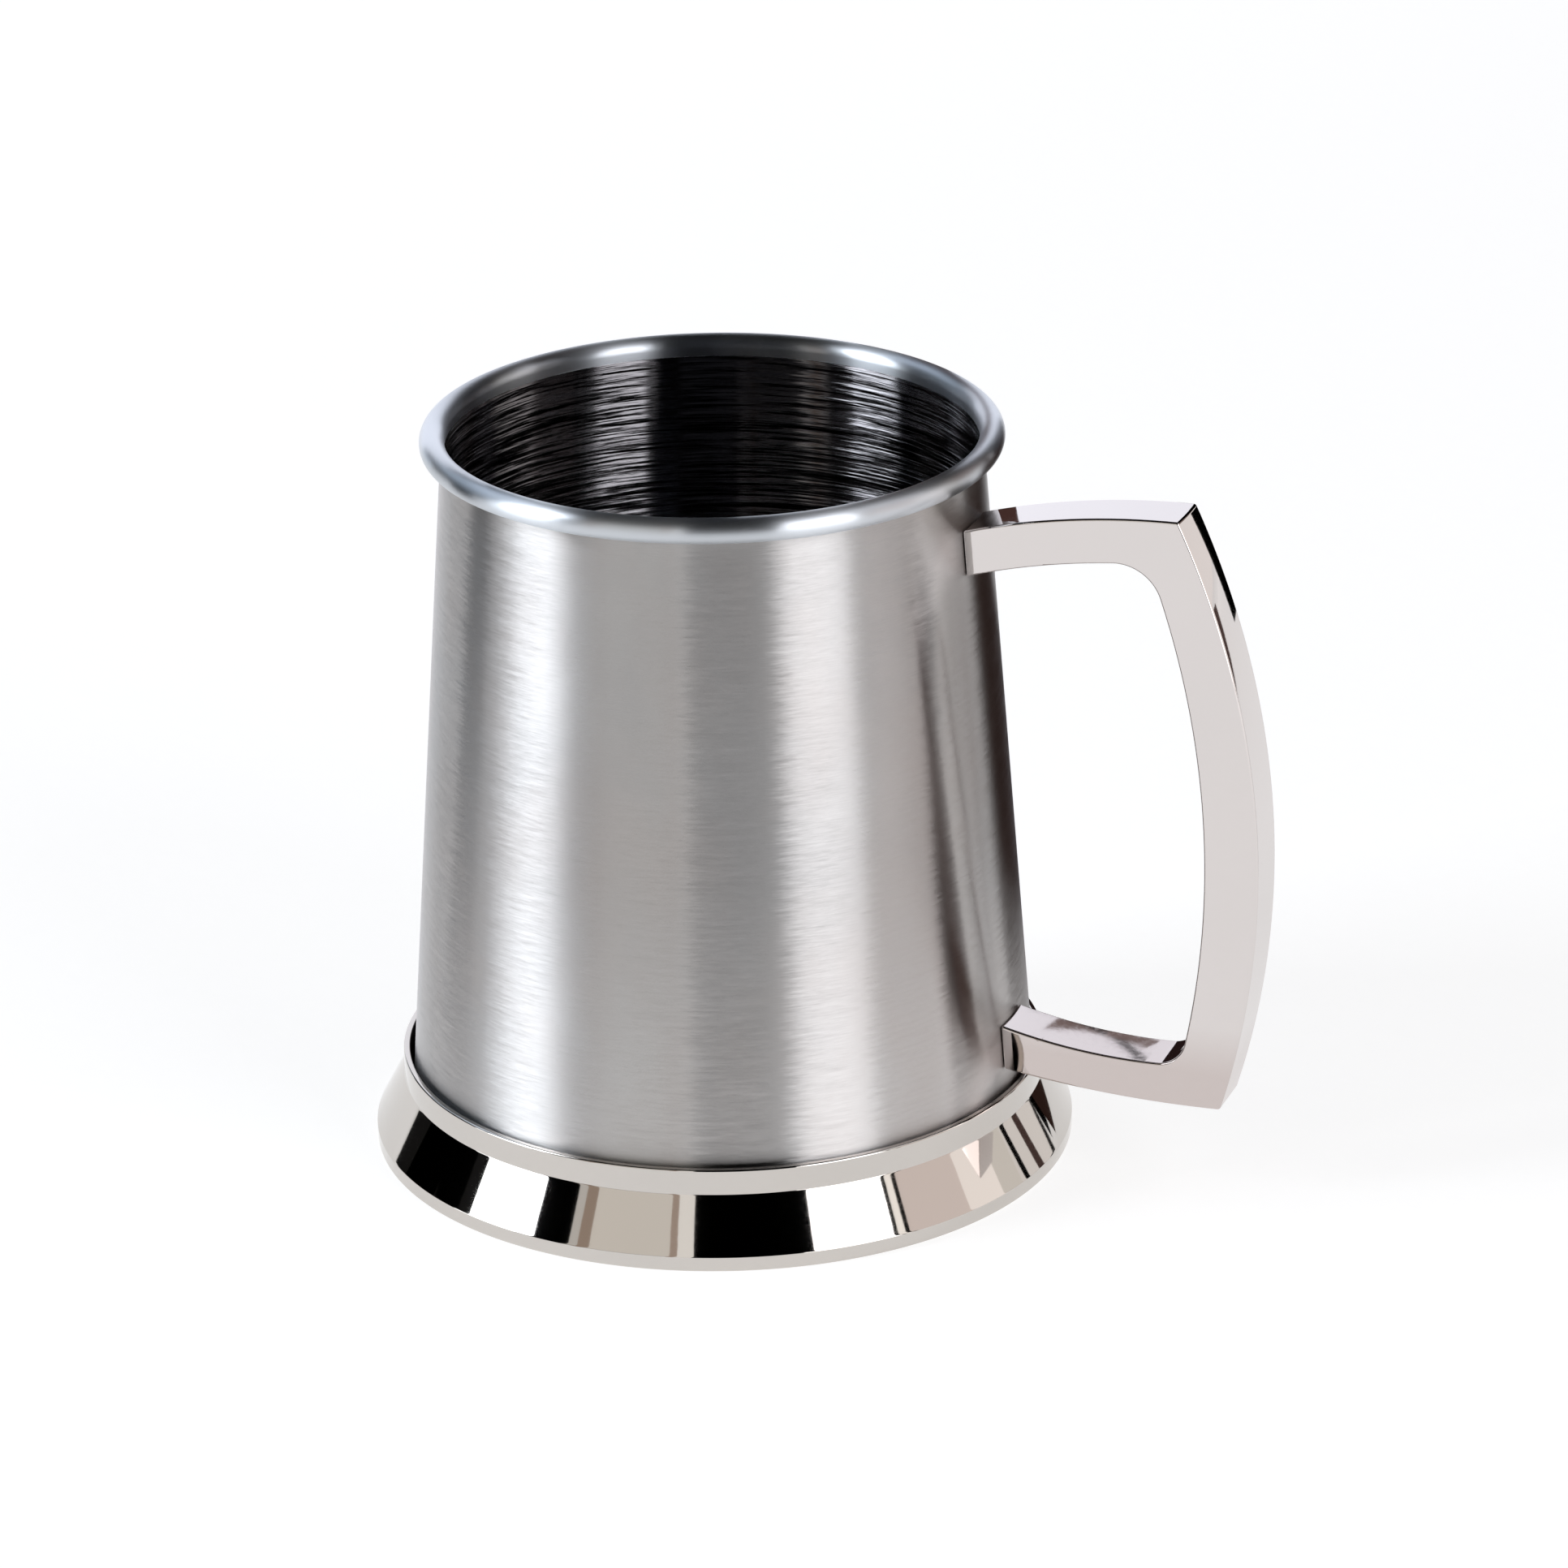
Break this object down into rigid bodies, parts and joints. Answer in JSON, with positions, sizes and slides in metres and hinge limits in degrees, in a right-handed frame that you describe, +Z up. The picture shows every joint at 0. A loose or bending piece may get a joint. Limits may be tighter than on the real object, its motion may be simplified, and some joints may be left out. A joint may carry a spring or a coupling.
{
  "type": "tankard",
  "caption": "Tapered brushed steel tankard with a rolled rim, a bright flared foot ring and a square C-shaped handle.",
  "frame": {"origin": "centre of the cup's axis on the surface that the foot ring stands on", "axes": "+Z up along the cup's axis, +X out through the middle of the handle"},
  "size_m": [0.1475, 0.1128, 0.12],
  "materials": {
    "barrel": "satin stainless steel, brushed round the cup, polished on the rim bead",
    "floor": "satin stainless steel",
    "foot": "bright nickel plate on a zinc casting",
    "handle": "bright nickel plate on a zinc casting",
    "plate": "pressed steel, dull",
    "hardware": "zinc-plated steel"
  },
  "bodies": {
    "root": {"barrel_wall": "barrel", "floor_pan": "floor", "floor_stud": "hardware", "foot_ring": "foot", "base_plate": "plate", "base_washer": "hardware", "base_nut": "hardware", "handle": "handle", "upper_handle_stud": "hardware", "lower_handle_stud": "hardware", "upper_grub_screw": "hardware", "lower_grub_screw": "hardware"}
  },
  "joints": []
}
